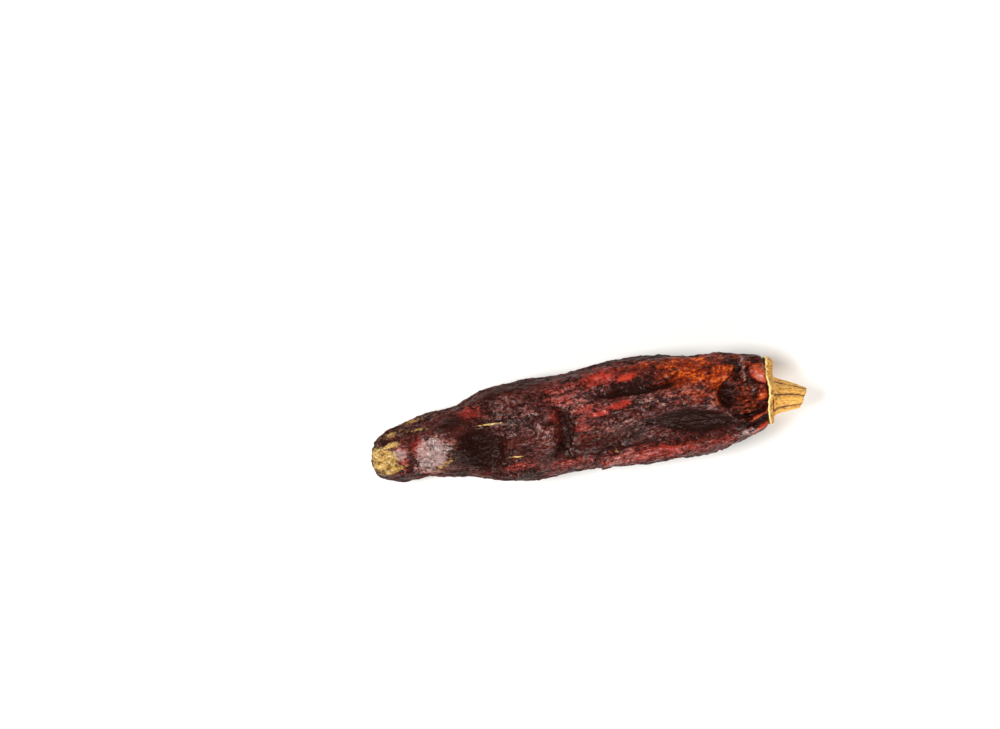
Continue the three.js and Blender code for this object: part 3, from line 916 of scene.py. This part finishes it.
class CHILLI_OT_stem(bpy.types.Operator):
    """Adds the stem: a ribbed stub that flares into the calyx, with a slanting cut end"""

    bl_idname = "chilli.stem"
    bl_label = "Stem"

    def execute(self, context):
        size = sizes()
        calyx = (CALYX_LOW + CALYX_HIGH) / 2
        start = Vector((CALYX_LOW.x + STEM_AT * MM, calyx.y - size.stem_drop * MM, calyx.z))
        length, wide, narrow = STEM_LENGTH, STEM_BASE_RADIUS, STEM_END_RADIUS
        profile = [
            (0, 0), (0, wide * 1.3), (0.25, wide * 1.14), (0.7, wide), (1.8, wide * 0.88),
            (3.1, wide * 0.74), (length * 0.88, narrow * 1.08), (length - 0.1, narrow),
            (length, narrow * 0.86), (length - 0.15, narrow * 0.4), (length - 0.3, 0),
        ]
        bm = lathe(resampled(profile, STEM_RINGS), STEM_SIDES, start)
        points = coordinates(bm)
        base = np.array(start) / MM
        ahead = points - base
        along = ahead[:, 0].copy()
        angle = np.arctan2(ahead[:, 2], ahead[:, 1]) + along * 0.05
        out = np.hypot(ahead[:, 1], ahead[:, 2])
        shell = smoothstep(out, 0.4, 1.2)
        tube = np.stack([along, np.cos(angle) * 3, np.sin(angle) * 3], 1)
        sway = noise_at(tube, (4, 1.4, 1.4), 8.8)
        rib = np.abs(np.sin(size.stem_ribs * angle * 0.5 + 0.9 + sway * 0.5))
        fibre = noise_at(tube, (3.5, 0.3, 0.3), 2.2)
        stretch = 1 + (0.13 * (rib - 0.6) + 0.035 * fibre + 0.04 * sway) * shell
        ahead[:, 1] *= stretch
        ahead[:, 2] *= stretch
        ragged = noise_at(ahead, (0.4, 0.4, 0.4), 5.5)
        cut = smoothstep(along, 0, length)
        slope = size.base_skew + (size.stem_slant - size.base_skew) * cut
        ahead[:, 0] += slope * ahead[:, 1] + 0.16 * ragged * smoothstep(along, length - 0.6, length)
        ahead[:, 1] -= size.stem_lean * along
        place_all(bm, ahead + base)
        cut_face = smoothstep(along, length - 0.25, length) * (out < narrow * 0.8)
        groove = (1 - rib) ** 2 * shell + 0.5 * cut_face
        masks = {"rim": np.zeros(len(points)), "groove": groove}
        straw = dried_straw("dried_stalk", rgba(colours().stem))
        finished(bm, "stem_straw", "stem", straw, masks)
        return {"FINISHED"}


# ---------------------------------------------------------------- the stage

LENS = 100.0  # mm
SENSOR = 36.0  # mm
VIEW_WIDTH = 165.0  # mm of the table that the picture takes in, at the height of the pepper's middle
VIEW_TURN = 9.2  # degrees that the picture is turned against the pod
VIEW_CENTRE = (23.54, 11.2)  # mm from the pod's tip, and from the pepper's middle
TABLE_REACH = 2.0  # metres from the middle of the table to its edges
ROOM_LIGHT = 0.24  # strength of the even white light from all round


def area_light(name, place, size, power):
    """A soft white light that faces the pepper, with its place and size in metres and power in watts."""
    data = bpy.data.lights.new(name, "AREA")
    data.shape = "RECTANGLE"
    data.size, data.size_y = size
    data.energy = power
    lamp = bpy.data.objects.new(name, data)
    lamp.location = place
    lamp.rotation_euler = (-Vector(place)).to_track_quat("-Z", "Y").to_euler()
    bpy.context.scene.collection.objects.link(lamp)


class CHILLI_OT_stage(bpy.types.Operator):
    """Adds the table, the lights and the camera"""

    bl_idname = "chilli.stage"
    bl_label = "Table, lights and camera"

    def execute(self, context):
        bm = bmesh.new()
        bmesh.ops.create_grid(bm, x_segments=1, y_segments=1, size=TABLE_REACH)
        mesh = bpy.data.meshes.new("table")
        bm.to_mesh(mesh)
        bm.free()
        mesh.materials.append(matt_board())
        table = bpy.data.objects.new("table", mesh)
        context.scene.collection.objects.link(table)

        area_light("key", (-0.43, 0.06, 0.51), (0.30, 0.34), 4.8)
        area_light("far_fill", (0.30, 0.44, 0.34), (0.36, 0.20), 1.6)
        area_light("near_fill", (0.12, -0.50, 0.32), (0.40, 0.18), 3.4)
        world = bpy.data.worlds.new("room")
        world.use_nodes = True
        background = world.node_tree.nodes["Background"]
        background.inputs["Color"].default_value = (1, 1, 1, 1)
        background.inputs["Strength"].default_value = ROOM_LIGHT
        context.scene.world = world
        context.scene.view_settings.view_transform = "Standard"

        data = bpy.data.cameras.new("camera")
        data.lens, data.sensor_width = LENS, SENSOR
        camera = bpy.data.objects.new("camera", data)
        height = VIEW_WIDTH * LENS / SENSOR * MM + CAD_BOX[1].z / 2
        camera.location = (POD_LOW.x + VIEW_CENTRE[0] * MM, VIEW_CENTRE[1] * MM, height)
        camera.rotation_euler = (0, 0, math.radians(-VIEW_TURN))
        context.scene.collection.objects.link(camera)
        context.scene.camera = camera
        return {"FINISHED"}


# ---------------------------------------------------------------- the add-on


class CHILLI_PT_panel(bpy.types.Panel):
    """Lists the pieces, and the sizes and colours that they are made with"""

    bl_idname = "CHILLI_PT_panel"
    bl_label = "Dried chilli pepper"
    bl_space_type = "VIEW_3D"
    bl_region_type = "UI"
    bl_category = "Chilli"

    def draw(self, context):
        for operator in (CHILLI_OT_pod, CHILLI_OT_calyx, CHILLI_OT_stem, CHILLI_OT_stage):
            self.layout.operator(operator.bl_idname)
        for group in (sizes(), colours()):
            box = self.layout.box()
            for name in group.__annotations__:
                box.prop(group, name)


CLASSES = (
    ChilliSizes,
    ChilliColours,
    CHILLI_OT_pod,
    CHILLI_OT_calyx,
    CHILLI_OT_stem,
    CHILLI_OT_stage,
    CHILLI_PT_panel,
)


def register():
    for item in CLASSES:
        bpy.utils.register_class(item)
    bpy.types.Scene.chilli_sizes = PointerProperty(type=ChilliSizes)
    bpy.types.Scene.chilli_colours = PointerProperty(type=ChilliColours)


def unregister():
    del bpy.types.Scene.chilli_colours
    del bpy.types.Scene.chilli_sizes
    for item in reversed(CLASSES):
        bpy.utils.unregister_class(item)


def main():
    register()
    bpy.ops.chilli.pod()
    bpy.ops.chilli.calyx()
    bpy.ops.chilli.stem()
    bpy.ops.chilli.stage()
    bpy.context.view_layer.update()


if __name__ == "__main__":
    main()
